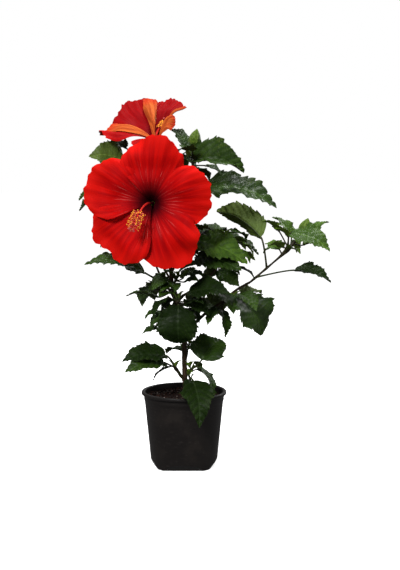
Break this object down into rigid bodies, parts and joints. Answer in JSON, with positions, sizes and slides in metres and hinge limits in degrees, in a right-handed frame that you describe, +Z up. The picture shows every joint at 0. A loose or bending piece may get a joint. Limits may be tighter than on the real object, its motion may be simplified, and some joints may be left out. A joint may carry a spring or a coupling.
{
  "type": "potted hibiscus shrub",
  "caption": "Young hibiscus shrub in a round nursery pot: thin leaning stem, open sprays of broad leaves, buds and large five-petalled blooms with long stamen columns.",
  "frame": {"origin": "centre of the pot's flat underside", "axes": "+Z up along the pot's axis; -Y is the side that the large bloom faces; +X is to the right of a viewer who looks at that side"},
  "size_m": [0.3396, 0.2421, 0.501],
  "materials": {
    "pot": "satin",
    "soil": "matte",
    "bark": "matte",
    "foliage": "satin",
    "petals": "satin",
    "calyx": "satin",
    "stamens": "matte"
  },
  "bodies": {
    "root": {"pot": "pot", "soil": "soil", "trunk": "bark", "bough_leader": "bark", "bough_right": "bark", "bough_mid_right": "bark", "bough_upper_right": "bark", "bough_left": "bark", "bough_back_left": "bark", "bough_back_right": "bark", "bough_back_top": "bark", "spray_base_left": "foliage", "spray_base_right": "foliage", "spray_rim": "foliage", "spray_center": "foliage", "spray_left": "foliage", "spray_left_low": "foliage", "spray_right_low": "foliage", "spray_mid_right": "foliage", "spray_mid": "foliage", "spray_right": "foliage", "spray_upper_right": "foliage", "spray_upper_left": "foliage", "spray_back_low": "foliage", "spray_heart": "foliage", "spray_back_mid": "foliage", "spray_back_side": "foliage", "spray_back_left": "foliage", "spray_back_right": "foliage", "spray_back_top": "foliage", "spray_top": "foliage", "bloom_front_petals": "petals", "bloom_front_calyx": "calyx", "bloom_front_column": "stamens", "bloom_top_petals": "petals", "bloom_top_calyx": "calyx", "bloom_top_column": "stamens"}
  },
  "joints": []
}
